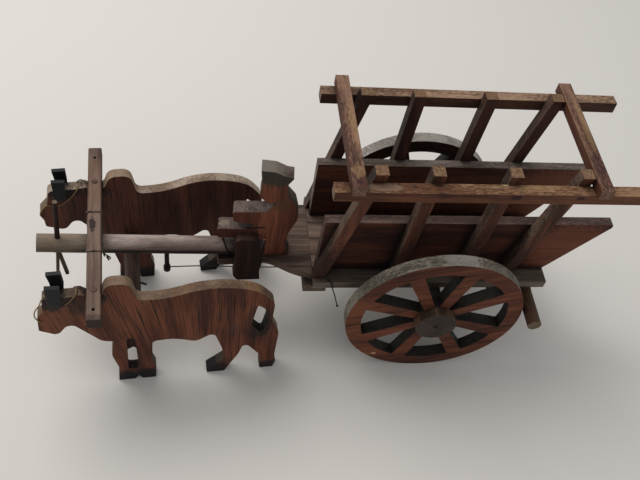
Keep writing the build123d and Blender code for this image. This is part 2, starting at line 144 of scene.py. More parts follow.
class ToySizes(PropertyGroup):
    """Sizes of what is tied on the toy"""

    wire_thick: FloatProperty(name="Wire", description="Diameter of the binding wire", default=0.9 * MM,
                              min=0.3 * MM, max=2 * MM, unit="LENGTH", precision=4)
    thread_thick: FloatProperty(name="Thread", description="Diameter of the halter thread", default=0.9 * MM,
                                min=0.3 * MM, max=2 * MM, unit="LENGTH", precision=4)
    edge_round: FloatProperty(name="Edge rounding", description="How far the boards' edges are rubbed round",
                              default=0.7 * MM, min=0.0, max=2 * MM, unit="LENGTH", precision=4)


class ToyStage(PropertyGroup):
    """Floor, lamps and camera"""

    floor: colour("Floor", "Plain pale floor", 214, 209, 203)
    lamp: FloatProperty(name="Lamp", description="Power of the soft lamp overhead", default=14.0, min=0.0,
                        unit="POWER")
    sky: FloatProperty(name="Sky", description="Strength of the light from all round", default=0.55, min=0.0,
                       subtype="FACTOR")
    lens: FloatProperty(name="Lens", description="Focal length of the camera", default=46.2156, min=10.0,
                        unit="CAMERA")


class ToyCartSettings(PropertyGroup):
    """All settings of the toy bullock cart"""

    colours: PointerProperty(type=ToyColours)
    sizes: PointerProperty(type=ToySizes)
    stage: PointerProperty(type=ToyStage)


def settings():
    """The values of the panel."""
    return bpy.context.scene.toy_cart


# Places


def from_team(x, y, z):
    """A place in the team's frame, in millimetres, as metres in the toy's frame."""
    turn = Matrix.Rotation(math.radians(TEAM_YAW), 4, "Z")
    return (turn @ Vector((x, y, z)) + Vector(TEAM_PLACE)) * MM


def from_cart(x, y, z):
    """A place in the cart's frame, in millimetres, as metres in the toy's frame."""
    return (Vector((x, y, z)) + Vector(CART_PLACE)) * MM


def from_board(side, x, y, z):
    """A place on a bullock's board: along, out of its right face and up."""
    turn = Matrix.Rotation(math.radians(BOARD_TURN[side]), 4, "Z")
    return from_team(*(turn @ Vector((x, y, z)) + Vector(BOARD_PLACE[side])))


# Finishes


class Finish:
    """One material, built node by node."""

    def __init__(self, name):
        self.material = bpy.data.materials.new(name)
        self.material.use_nodes = True
        self.tree = self.material.node_tree
        self.tree.nodes.clear()
        self.shader = self.add("ShaderNodeBsdfPrincipled")
        self.shader.inputs["Specular IOR Level"].default_value = 0.2
        out = self.add("ShaderNodeOutputMaterial")
        self.tree.links.new(self.shader.outputs[0], out.inputs[0])
        self.coordinates = self.add("ShaderNodeTexCoord")

    def add(self, kind, **choices):
        node = self.tree.nodes.new(kind)
        for key, value in choices.items():
            setattr(node, key, value)
        return node

    def feed(self, socket, value):
        """Links a socket to a socket, or writes a number or colour on it."""
        if isinstance(value, bpy.types.NodeSocket):
            self.tree.links.new(value, socket)
        elif hasattr(value, "__len__") and len(value) == 3 and len(socket.default_value) == 4:
            socket.default_value = (*value, 1.0)
        else:
            socket.default_value = value

    def calculate(self, operation, first, second=0.0):
        node = self.add("ShaderNodeMath", operation=operation)
        self.feed(node.inputs[0], first)
        self.feed(node.inputs[1], second)
        return node.outputs[0]

    def plus(self, first, second):
        return self.calculate("ADD", first, second)

    def minus(self, first, second):
        return self.calculate("SUBTRACT", first, second)

    def times(self, first, second):
        return self.calculate("MULTIPLY", first, second)

    def ramp(self, value, low, high, to_low=0.0, to_high=1.0):
        """Runs smoothly from to_low to to_high while the value goes from low to high."""
        node = self.add("ShaderNodeMapRange", interpolation_type="SMOOTHSTEP")
        for index, part in enumerate((value, low, high, to_low, to_high)):
            self.feed(node.inputs[index], part)
        return node.outputs[0]

    def mix(self, share, first, second, blend="MIX"):
        node = self.add("ShaderNodeMix", data_type="RGBA", blend_type=blend)
        self.feed(node.inputs[0], share)
        self.feed(node.inputs[6], first)
        self.feed(node.inputs[7], second)
        return node.outputs[2]

    def noise(self, place, scale, detail=3.0, rough=0.55, twist=0.0):
        node = self.add("ShaderNodeTexNoise")
        self.feed(node.inputs["Vector"], place)
        node.inputs["Scale"].default_value = scale
        node.inputs["Detail"].default_value = detail
        node.inputs["Roughness"].default_value = rough
        node.inputs["Distortion"].default_value = twist
        return node.outputs[0]

    def moved(self, place, shift=(0, 0, 0), turn=(0, 0, 0), scale=(1, 1, 1)):
        node = self.add("ShaderNodeMapping")
        self.feed(node.inputs["Vector"], place)
        node.inputs["Location"].default_value = shift
        node.inputs["Rotation"].default_value = [math.radians(angle) for angle in turn]
        node.inputs["Scale"].default_value = scale
        return node.outputs[0]

    def millimetres(self, place, yaw):
        """Coordinates in millimetres from a place in the toy's frame, turned with that half."""
        scaled = self.moved(self.coordinates.outputs["Object"], scale=(1 / MM,) * 3)
        centred = self.moved(scaled, shift=[-value for value in place])
        return self.moved(centred, turn=(0, 0, -yaw))

    def split(self, place):
        node = self.add("ShaderNodeSeparateXYZ")
        self.feed(node.inputs[0], place)
        return node.outputs

    def join(self, x, y, z):
        node = self.add("ShaderNodeCombineXYZ")
        for socket, value in zip(node.inputs, (x, y, z)):
            self.feed(socket, value)
        return node.outputs[0]

    def toward(self, axis, yaw=0.0):
        """1 where the surface looks along an axis, -1 where it looks the other way."""
        turn = Matrix.Rotation(math.radians(yaw), 3, "Z")
        node = self.add("ShaderNodeVectorMath", operation="DOT_PRODUCT")
        self.feed(node.inputs[0], self.coordinates.outputs["Normal"])
        node.inputs[1].default_value = turn @ Vector(axis)
        return node.outputs["Value"]

    def facing(self, axis, yaw=0.0):
        """How squarely the surface looks along an axis, either way."""
        return self.calculate("ABSOLUTE", self.toward(axis, yaw))

    def patch(self, place, uneven, spot):
        """A soft patch, 1 at its centre and 0 beyond its reach, with an uneven rim."""
        scale = [1 / value for value in spot.reach]
        near = self.moved(place, shift=[-c * s for c, s in zip(spot.centre, scale)], scale=scale)
        node = self.add("ShaderNodeVectorMath", operation="LENGTH")
        self.feed(node.inputs[0], near)
        if spot.sharp:
            return self.ramp(node.outputs["Value"], *SHARP_RIM, 1.0, 0.0)
        return self.ramp(self.plus(node.outputs["Value"], uneven), *SOFT_RIM, 1.0, 0.0)

    def rubbed(self):
        """1 along the outer edges that hands have rubbed, and the softened normal there."""
        bevel = self.add("ShaderNodeBevel", samples=6)
        bevel.inputs["Radius"].default_value = settings().sizes.edge_round
        geometry = self.add("ShaderNodeNewGeometry")
        dot = self.add("ShaderNodeVectorMath", operation="DOT_PRODUCT")
        self.feed(dot.inputs[0], bevel.outputs[0])
        self.feed(dot.inputs[1], geometry.outputs["Normal"])
        return self.ramp(dot.outputs["Value"], *RUBBED_BAND, 1.0, 0.0), bevel.outputs[0]

    def surface(self, colour_socket, rough, height, depth, normal):
        """Closes the material: colour, roughness and the relief of the grain."""
        self.feed(self.shader.inputs["Base Color"], colour_socket)
        self.feed(self.shader.inputs["Roughness"], rough)
        bump = self.add("ShaderNodeBump")
        bump.inputs["Strength"].default_value = RELIEF_STRENGTH
        bump.inputs["Distance"].default_value = depth
        self.feed(bump.inputs["Height"], height)
        self.feed(bump.inputs["Normal"], normal)
        self.feed(self.shader.inputs["Normal"], bump.outputs[0])
        return self.material


class Spot(NamedTuple):
    """A patch of another colour on a board, in the millimetres of the board's half of the toy."""

    centre: tuple
    reach: tuple
    tint: tuple
    strength: float
    where: str = "all"
    sharp: bool = False


def along_grain(finish, place, along, lean):
    """Grain coordinates: along the board first, then the two ways across it.

    lean is how far the lines lean for each millimetre along them, or, on an upright board, a row
    of from where, to where, the lean here and the lean there."""
    x, y, z = finish.split(place)
    if along == "Z":
        slant = finish.ramp(x, *lean) if isinstance(lean, tuple) else lean
        x = finish.plus(x, finish.times(finish.minus(z, LEAN_MIDDLE), slant))
    elif along == "X" and lean:
        z = finish.minus(z, finish.times(x, lean))
    order = {"X": (x, y, z), "Y": (y, x, z), "Z": (z, x, y)}[along]
    return finish.join(*order)


def grain(finish, place, seed):
    """Tone, veins, dark pores and fine fibre of a sawn board, from its grain coordinates."""
    own = finish.moved(place, shift=[seed * step for step in PIECE_APART])

    def layer(size, **looks):
        drawn = finish.moved(own, scale=(size[0], size[1], size[1]))
        return finish.noise(drawn, 1.0, **looks)

    return (layer(TONE, detail=3), layer(VEIN, detail=4, twist=0.1),
            layer(PORES, detail=2, rough=0.6), layer(FIBRE, detail=2))


def board_finish(name, place, yaw, along, stain, seed, faces=None, edge=None, ends=None,
                 streaks=0.5, lean=0.0, under=None, worn=None, spots=(), rough=0.62, veins=0.45,
                 grit=0.4, dirt=0.5, grime=(0.8, 0.2, 0.88)):
    """A board: stained on its faces, bare on its sawn edges, rubbed along its corners.

    along is the way that its grain runs, and seed picks its piece of wood. faces is the axis
    that the stained faces look along, or None where all sides are alike. stain, edge and the
    last two of ends are a light and a dark colour. under is how dark the painted shade on the
    underside gets, and between which slopes. grit and dirt are how speckled the sawn edges are,
    and the last argument is how dark painted shade and grime get in the corners where pieces
    meet, and how closed in they are there."""
    tints = settings().colours
    finish = Finish(name)
    here = finish.millimetres(place, yaw)
    lengthwise = along_grain(finish, here, along, lean)
    tone, vein, pores, fibre = grain(finish, lengthwise, seed)
    drawn_out = finish.moved(lengthwise, scale=(0.25, 1, 1))
    speck = finish.noise(drawn_out, 0.9, detail=3)
    base = finish.mix(finish.ramp(tone, *TONE_BAND), stain[1], stain[0])
    base = finish.mix(finish.ramp(vein, *VEIN_BAND, 0.0, veins), base, tints.streak)
    crowded = finish.ramp(finish.noise(here, 0.03, detail=1), 0.4, 0.6, 0.3, 1.0)
    lines = finish.times(finish.ramp(pores, *PORE_BAND), finish.times(crowded, streaks))
    base = finish.mix(lines, base, tints.streak)
    shade = finish.mix(finish.ramp(fibre, *FIBRE_BAND), FIBRE_SHADE, (1, 1, 1))
    base = finish.mix(0.7, base, shade, "MULTIPLY")
    square = 1.0
    if faces is not None:
        square = finish.ramp(finish.facing(faces, yaw), *FACE_BAND)
        patches = finish.plus(finish.times(tone, 1 - grit), finish.times(speck, grit))
        bare = finish.mix(finish.ramp(patches, *PATCH_BAND), edge[1], edge[0])
        bare = finish.mix(finish.ramp(vein, *VEIN_BAND, 0.0, 0.4), bare, edge[1])
        specks = finish.noise(drawn_out, 0.42, detail=4, rough=0.65)
        bare = finish.mix(finish.ramp(specks, *SPECK_BAND, 0.0, dirt), bare, tints.streak)
        bare = finish.mix(0.6, bare, shade, "MULTIPLY")
        base = finish.mix(square, bare, base)
    if ends is not None:
        cut = finish.ramp(finish.facing(ends[0], yaw), *CUT_BAND, 0.0, 0.85)
        cut_wood = finish.mix(finish.ramp(speck, 0.35, 0.65), ends[2], ends[1])
        base = finish.mix(cut, base, cut_wood)
    # painted shade: faces that look downward are darkened towards the streak colour
    if under is not None:
        dark, low, high = under
        underside_shade = finish.ramp(finish.toward((0, 0, 1)), low, high, dark, 0.0)
        base = finish.mix(underside_shade, base, tints.streak)
    corner, softened = finish.rubbed()
    corner = finish.times(corner, finish.ramp(finish.noise(here, 0.16), 0.4, 0.62, 0.15, 0.8))
    base = finish.mix(corner, base, worn or tints.sawn_light)
    if spots:
        base = spotted(finish, here, square, base, spots)
    # painted shade, with some grime, darkens the corners where pieces meet, found by ambient occlusion
    corner_occlusion = finish.add("ShaderNodeAmbientOcclusion", samples=6)
    corner_occlusion.inputs["Distance"].default_value = CORNER_SHADE_REACH
    dark, shut, open_air = grime
    base = finish.mix(finish.ramp(corner_occlusion.outputs["AO"], shut, open_air, dark, 0.0), base, CORNER_SHADE_AND_GRIME)
    height = finish.minus(finish.plus(fibre, vein), finish.times(lines, 1.5))
    shine = finish.ramp(tone, 0.0, 1.0, rough + 0.12, rough - 0.06)
    return finish.surface(base, shine, height, GRAIN_DEPTH, softened)


def spotted(finish, here, square, base, spots):
    """The board's colour with its spots laid over it, one after another."""
    uneven = finish.times(finish.minus(finish.noise(here, 0.4, detail=3), 0.5), RIM_WANDER)
    for spot in spots:
        share = finish.times(finish.patch(here, uneven, spot), spot.strength)
        if spot.where == "face":
            share = finish.times(share, square)
        elif spot.where == "edge":
            share = finish.times(share, finish.minus(1.0, square))
        base = finish.mix(share, base, spot.tint)
    return base


def team_board(name, along, stain, seed, **looks):
    """The finish of a board that keeps to the team's half of the toy."""
    return board_finish(name, TEAM_PLACE, TEAM_YAW, along, stain, seed, **looks)


def cart_board(name, along, stain, seed, **looks):
    """The finish of a board that keeps to the cart's half of the toy."""
    return board_finish(name, CART_PLACE, 0, along, stain, seed, **looks)


def plain_finish(name, light, dark, rough, metal=0.0, scale=0.5):
    """Paint, wire or thread: one colour with small uneven patches."""
    finish = Finish(name)
    here = finish.millimetres((0, 0, 0), 0)
    patches = finish.noise(here, scale, detail=4)
    base = finish.mix(finish.ramp(patches, 0.35, 0.65), dark, light)
    finish.shader.inputs["Metallic"].default_value = metal
    worn, softened = finish.rubbed()
    base = finish.mix(finish.times(worn, 0.15), base, settings().colours.weathered)
    shine = finish.ramp(patches, 0.3, 0.7, rough - 0.08, rough + 0.08)
    return finish.surface(base, shine, patches, PAINT_DEPTH, softened)


def dress(names, material):
    """Gives a finish to carried-over parts."""
    for name in names:
        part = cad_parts[name]
        if not part.material_slots:
            part.data.materials.append(material)
        for slot in part.material_slots:
            slot.material = material


# New pieces


def finished(name, mesh_or_curve, material):
    """Puts a tied or turned piece on the cart, which carries all of them."""
    piece = bpy.data.objects.new(name, mesh_or_curve)
    bpy.context.scene.collection.objects.link(piece)
    mesh_or_curve.materials.append(material)
    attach(piece, "cart")
    return piece


def strand(name, points, thick, material, closed=False):
    """A wire or thread along a smooth line through its guiding points."""
    curve = bpy.data.curves.new(name, "CURVE")
    curve.dimensions = "3D"
    curve.bevel_depth = thick / 2
    curve.bevel_resolution = 3
    curve.use_fill_caps = not closed
    curve.resolution_u = 6
    line = curve.splines.new("NURBS")
    line.points.add(len(points) - 1)
    for point, place in zip(line.points, points):
        point.co = (*place, 1.0)
    line.use_cyclic_u = closed
    line.order_u = 3
    line.use_endpoint_u = not closed
    return finished(name, curve, material)


def turned(name, profile, place, material):
    """A round piece turned from (radius, height) pairs about an upright line."""
    shape = bmesh.new()
    ring = [shape.verts.new((radius, 0, height)) for radius, height in profile]
    edges = [shape.edges.new(pair) for pair in zip(ring, ring[1:])]
    bmesh.ops.spin(shape, geom=ring + edges, cent=(0, 0, 0), axis=(0, 0, 1), angle=2 * math.pi,
                   steps=16, use_merge=True)
    bmesh.ops.remove_doubles(shape, verts=shape.verts, dist=0.01 * MM)
    bmesh.ops.recalc_face_normals(shape, faces=shape.faces)
    bmesh.ops.transform(shape, matrix=Matrix.Translation(place), verts=shape.verts)
    mesh = bpy.data.meshes.new(name)
    shape.to_mesh(mesh)
    shape.free()
    mesh.shade_smooth()
    return finished(name, mesh, material)


class TOYCART_OT_stage(Operator):
    """Lays the pale floor, hangs the soft lamp and sets up the camera"""

    bl_idname = "toy_cart.stage"
    bl_label = "Stage"

    def execute(self, context):
        look = settings().stage
        scene = context.scene
        scene.view_settings.view_transform = "Standard"
        self.floor(look)
        self.sky(scene, look)
        self.lamp(look)
        self.camera(scene, look)
        return {"FINISHED"}

    def floor(self, look):
        """A wide flat floor under the toy."""
        shape = bmesh.new()
        bmesh.ops.create_grid(shape, x_segments=8, y_segments=8, size=FLOOR_HALF)
        mesh = bpy.data.meshes.new("pale_floor")
        shape.to_mesh(mesh)
        shape.free()
        ground = bpy.data.objects.new("pale_floor", mesh)
        bpy.context.scene.collection.objects.link(ground)
        finish = Finish("pale floor")
        finish.feed(finish.shader.inputs["Base Color"], look.floor)
        finish.shader.inputs["Roughness"].default_value = 0.9
        mesh.materials.append(finish.material)

    def sky(self, scene, look):
        """Soft light from all round, seen by the camera in the floor's own colour."""
        world = bpy.data.worlds.new("soft sky")
        world.use_nodes = True
        tree = world.node_tree
        tree.nodes.clear()
        out = tree.nodes.new("ShaderNodeOutputWorld")
        light = tree.nodes.new("ShaderNodeBackground")
        seen = tree.nodes.new("ShaderNodeBackground")
        choose = tree.nodes.new("ShaderNodeMixShader")
        ray = tree.nodes.new("ShaderNodeLightPath")
        light.inputs["Color"].default_value = (*SKY_TINT, 1.0)
        light.inputs["Strength"].default_value = look.sky
        seen.inputs["Color"].default_value = (*look.floor, 1.0)
        tree.links.new(ray.outputs["Is Camera Ray"], choose.inputs[0])
        tree.links.new(light.outputs[0], choose.inputs[1])
        tree.links.new(seen.outputs[0], choose.inputs[2])
        tree.links.new(choose.outputs[0], out.inputs[0])
        scene.world = world

    def lamp(self, look):
        """A wide lamp overhead, aimed at the toy."""
        soft = bpy.data.lights.new("soft lamp", "AREA")
        soft.shape = "DISK"
        soft.size = LAMP_WIDE
        soft.energy = look.lamp
        soft.color = LAMP_TINT
        place = Vector(LAMP_PLACE)
        lamp = bpy.data.objects.new("soft lamp", soft)
        lamp.location = place
        lamp.rotation_euler = (-place).to_track_quat("-Z", "Y").to_euler()
        bpy.context.scene.collection.objects.link(lamp)

    def camera(self, scene, look):
        """A hand-held view from above the near side, a little rolled."""
        pitch, yaw, roll = (math.radians(angle) for angle in CAMERA_ANGLES)
        ahead = Vector((math.sin(yaw) * math.cos(pitch), math.cos(yaw) * math.cos(pitch),
                        -math.sin(pitch)))
        level = Vector((math.cos(yaw), -math.sin(yaw), 0.0))
        upright = level.cross(ahead)
        right = level * math.cos(roll) + upright * math.sin(roll)
        up = upright * math.cos(roll) - level * math.sin(roll)
        lens = bpy.data.cameras.new("camera")
        lens.sensor_width = SENSOR_WIDE
        lens.sensor_fit = "HORIZONTAL"
        lens.lens = look.lens
        lens.clip_start = 0.02
        view = bpy.data.objects.new("camera", lens)
        view.matrix_world = Matrix((right, up, -ahead)).transposed().to_4x4()
        view.location = CAMERA_PLACE
        scene.collection.objects.link(view)
        scene.camera = view


class TOYCART_OT_bullocks(Operator):
    """Stains the two bullock boards and paints their horns and hooves black"""

    bl_idname = "toy_cart.bullocks"
    bl_label = "Bullocks"

    def execute(self, context):
        tints = settings().colours
        black = tints.black_paint_and_shade
        horns = plain_finish("black horn paint", paint(19, 20, 25), paint(9, 9, 12), 0.5)
        # colours of painted shade: on the walls inside the slots, and in the recess between the legs
        shaded_wall, recess_shade = paint(20, 17, 15), paint(44, 27, 21)
        common = [
            Spot((60, 0, 20), (90, 30, 44), paint(66, 58, 48), 0.75, "edge"),
            Spot((30, 0, 3), (18, 30, 13), black, 0.95),
            Spot((14, 0, 3), (11, 30, 12.5), black, 0.95),
            Spot((84, 0, 3), (14, 30, 11.5), black, 0.95),
            Spot((84, 0, 12), (15, 30, 13), black, 0.4),
            Spot((126, 0, 3), (11, 30, 9), black, 0.9),
            # painted shade on the walls of the slot between the legs, and in the recess above it
            Spot((20, 0, 40), (9, 30, 32), shaded_wall, 0.85, "edge"),
            Spot((20, 0, 52), (8, 2.9, 16), recess_shade, 0.9, "face"),
            # painted shade on the walls of the tail slot
            Spot((115, 0, 72), (8.5, 30, 25), shaded_wall, 0.95, "edge"),
            Spot((120, 0, 66), (5, 30, 19), paint(26, 19, 17), 0.85, "face"),
            Spot((114, 0, 56), (8, 30, 9), paint(26, 19, 17), 0.75, "face"),
            Spot((113, 0, 68), (10, 30, 26), paint(40, 25, 21), 0.45, "face"),
        ]
        stains = {
            "left": (tints.stain_light, tints.stain_dark),
            "right": (paint(100, 56, 40), paint(70, 37, 27)),
        }
        edges = {
            "left": (tints.sawn_light, tints.sawn_dark),
            "right": (paint(174, 156, 138), paint(126, 105, 88)),
        }
        leans = {"left": (10.0, 90.0, 0.2, 0.02), "right": 0.03}
        own = {
            "left": [
                Spot((-30, 0, 114), (9, 30, 11), black, 0.9, "face"),
                Spot((-22, 0, 117), (9, 30, 8), black, 0.75, "face"),
                Spot((-28, 0, 122), (8, 30, 9), black, 0.8, "edge"),
                # black by the yoke: painted shade on the neck under the yoke, partly dark stain
                Spot((2, 0, 116), (5, 30, 7), black, 0.8),
                Spot((-14, 0, 106), (8, 30, 8), paint(48, 34, 26), 0.55, "face"),
                Spot((-40, 0, 95), (8, 30, 20), paint(92, 72, 52), 0.75, "edge"),
                Spot((96, -4, 63), (2.2, 2.5, 10), paint(58, 54, 56), 0.45, "face"),
                Spot((50, 0, 124), (22, 30, 12), paint(146, 102, 70), 0.45, "edge"),
                Spot((109, 0, 114), (7, 30, 9), paint(140, 100, 58), 0.35, "edge"),
            ],
            "right": [
                Spot((-28, 0, 118), (10, 30, 10), black, 0.9, "face"),
                Spot((-22, 0, 118), (10, 30, 6), black, 0.7, "face"),
                Spot((-28, 0, 126), (8, 30, 9), black, 0.75, "edge"),
                # black by the yoke: painted shade on the neck under the yoke, partly dark stain
                Spot((2, 0, 116), (4, 30, 8), black, 0.6),
                Spot((-44, 0, 94), (9, 30, 18), paint(92, 76, 54), 0.8, "edge"),
                Spot((14, 0, 124), (16, 30, 16), paint(134, 110, 88), 0.7, "edge"),
            ],
        }
        for number, side in enumerate(("left", "right")):
            finish = board_finish(
                f"stained board of the {side} bullock", from_board(side, 0, 0, 0) / MM,
                TEAM_YAW + BOARD_TURN[side], "Z", stains[side], 1 + number, faces=(0, 1, 0),
                edge=edges[side], streaks=0.95, lean=leans[side], worn=paint(66, 47, 38),
                spots=common + own[side],
            )
            dress([f"bullock_{side}"], finish)
            dress([f"horn_{side}_outer", f"horn_{side}_inner"], horns)
        return {"FINISHED"}


class TOYCART_OT_pole(Operator):
    """Weathers the pole and the yoke, and stains the pegs, the prop and the dowel"""

    bl_idname = "toy_cart.pole"
    bl_label = "Pole and yoke"

    def execute(self, context):
        tints = settings().colours
        grey = (tints.weathered, tints.weathered_dark)
        knot, brown = paint(40, 28, 26), paint(82, 66, 54)
        # the pole's dark underside is painted shade, with some stain
        pole = team_board(
            "weathered pole", "X", grey, 5, streaks=0.25, veins=0.25, under=(0.94, 0.0, 0.42),
            rough=0.6, ends=((1, 0, 0), paint(140, 124, 104), paint(96, 80, 64)),
            spots=[
                Spot((-24, 0, 108), (34, 30, 30), paint(118, 104, 84), 0.65),
                Spot((-8, -6, 102), (12, 6, 5), knot, 0.6),
                Spot((62, -6, 95), (16, 4, 4), knot, 0.55),
                Spot((34, -6, 98), (10, 4, 4), brown, 0.6),
            ],
        )
        dress(["pole"], pole)
        yoke = team_board(
            "weathered yoke", "Y", (paint(124, 101, 88), paint(78, 60, 50)), 6,
            streaks=0.3, veins=0.4, rough=0.6, faces=(0, 0, 1), edge=(paint(84, 62, 52), paint(52, 37, 31)),
            ends=((0, 1, 0), paint(66, 46, 38), paint(34, 24, 21)), worn=paint(150, 130, 114),
            spots=[
                Spot((-2.6, 5, 122), (2.6, 7, 5), knot, 0.95),
                Spot((0, 46, 122), (12, 26, 5), paint(112, 80, 62), 0.35),
                Spot((-1.4, -80, 119), (30, 8, 30), knot, 0.55),
            ],
        )
        dress(["yoke_bar"], yoke)
        pegs = team_board("stained neck pegs", "X", (paint(108, 84, 70), paint(76, 56, 46)), 7,
                          streaks=0.4)
        dress(["neck_pegs"], pegs)
        nose_peg = team_board("dark nose peg", "Z", (paint(60, 38, 31), paint(34, 22, 19)), 13,
                              streaks=0.4, ends=((0, 0, 1), paint(130, 112, 98), paint(88, 70, 60)))
        dress(["nose_peg"], nose_peg)
        prop = team_board("weathered prop", "Z", (paint(86, 66, 46), paint(50, 36, 26)), 14,
                          streaks=0.4)
        dress(["prop_sticks"], prop)
        # the dowel's darker underside is painted shade
        dowel = team_board("weathered dowel", "Y", (paint(104, 82, 72), paint(62, 46, 40)), 8,
                           streaks=0.4, under=(0.85, -0.1, 0.8))
        dress(["team_dowel"], dowel)
        dark = team_board("dark hanging peg", "Z", (paint(58, 44, 36), paint(32, 25, 22)), 9)
        dress(["hanging_peg"], dark)
        return {"FINISHED"}


class TOYCART_OT_driver(Operator):
    """Stains the driver's boards, with a grey turban and worn arms"""

    bl_idname = "toy_cart.driver"
    bl_label = "Driver"

    def execute(self, context):
        cloth, pinkish = paint(52, 52, 44), paint(116, 98, 90)
        shade, olive = paint(26, 20, 18), paint(70, 58, 38)
        body = team_board(
            "stained driver", "Z", (paint(134, 78, 55), paint(98, 54, 39)), 11, faces=(0, 1, 0),
            edge=(paint(112, 96, 88), paint(70, 57, 51)), streaks=0.5, worn=paint(90, 74, 64),
            spots=[
                Spot((127, 0, 178), (18, 30, 13), cloth, 0.92, "face"),
                Spot((127, 0, 184), (18, 30, 9), paint(118, 110, 99), 0.8, "edge"),
                Spot((100, 0, 130), (16, 30, 12), pinkish, 0.5, "edge"),
                # painted shade in the kerf between the arms and in the notch by the shoulder
                Spot((114, -6, 121), (9, 2.4, 1.6), shade, 0.95),
                Spot((122, -6, 147), (5.5, 2.6, 1.8), shade, 0.85),
                # painted shade in the gap under the lap
                Spot((119, 0, 100), (7, 30, 16), shade, 0.92, "edge"),
                Spot((100, -6, 116), (20, 12, 9), paint(60, 33, 27), 0.7, "face"),
                Spot((108, -6, 134), (12, 12, 9), paint(78, 42, 33), 0.5, "face"),
                Spot((92, 0, 128), (5, 5, 12), paint(150, 134, 116), 0.5, "edge"),
                Spot((106, -2, 148), (6, 4, 10), paint(146, 130, 112), 0.45, "edge"),
                Spot((132, -6, 146), (7, 3, 6), olive, 0.5, "face"),
            ],
        )
        dress(["driver_body"], body)
        legs = team_board(
            "dark stained legs", "Z", (paint(66, 40, 31), paint(38, 23, 19)), 12, faces=(0, 1, 0),
            edge=(paint(84, 60, 48), paint(48, 34, 28)), streaks=0.4, worn=paint(70, 50, 40),
            # painted shade on the legs' rear edge
            rough=0.75, spots=[Spot((122, -4, 98), (5, 30, 18), shade, 0.9, "edge")],
        )
        dress(["driver_legs"], legs)
        return {"FINISHED"}


class TOYCART_OT_bed(Operator):
    """Weathers the bed: sills, floor planks, tongue board, bearers, axle and tail bar"""

    bl_idname = "toy_cart.bed"
    bl_label = "Bed and axle"

    def execute(self, context):
        cut_light, cut_dark = paint(120, 106, 90), paint(62, 52, 44)
        sill = cart_board("weathered sill", "X", (paint(146, 132, 119), paint(98, 86, 76)), 15,
                          streaks=0.4, ends=((1, 0, 0), cut_light, cut_dark), worn=paint(138, 124, 110))
        dress(["sill_left", "sill_right"], sill)
        tongue = cart_board("stained tongue board", "X", (paint(112, 92, 80), paint(70, 54, 46)), 19)
        dress(["tongue_board"], tongue)
        planks = cart_board("weathered floor planks", "X", (paint(136, 112, 98), paint(94, 75, 65)), 16)
        dress(["floor_planks"], planks)
        under = cart_board("weathered cross timber", "Y", (paint(92, 78, 66), paint(54, 44, 37)), 17,
                           streaks=0.4, ends=((0, 1, 0), cut_light, cut_dark))
        dress(["axle", "bearer_front", "bearer_rear"], under)
        tail = cart_board("stained tail bar", "Y", (paint(88, 62, 46), paint(50, 35, 27)), 18,
                          streaks=0.6, ends=((0, 1, 0), paint(132, 116, 92), paint(78, 64, 50)))
        dress(["tail_bar"], tail)
        pins = plain_finish("dull pin steel", settings().colours.wire, paint(30, 26, 25), 0.5, metal=0.8)
        dress(["wheel_pins", "dowel_nail"], pins)
        return {"FINISHED"}


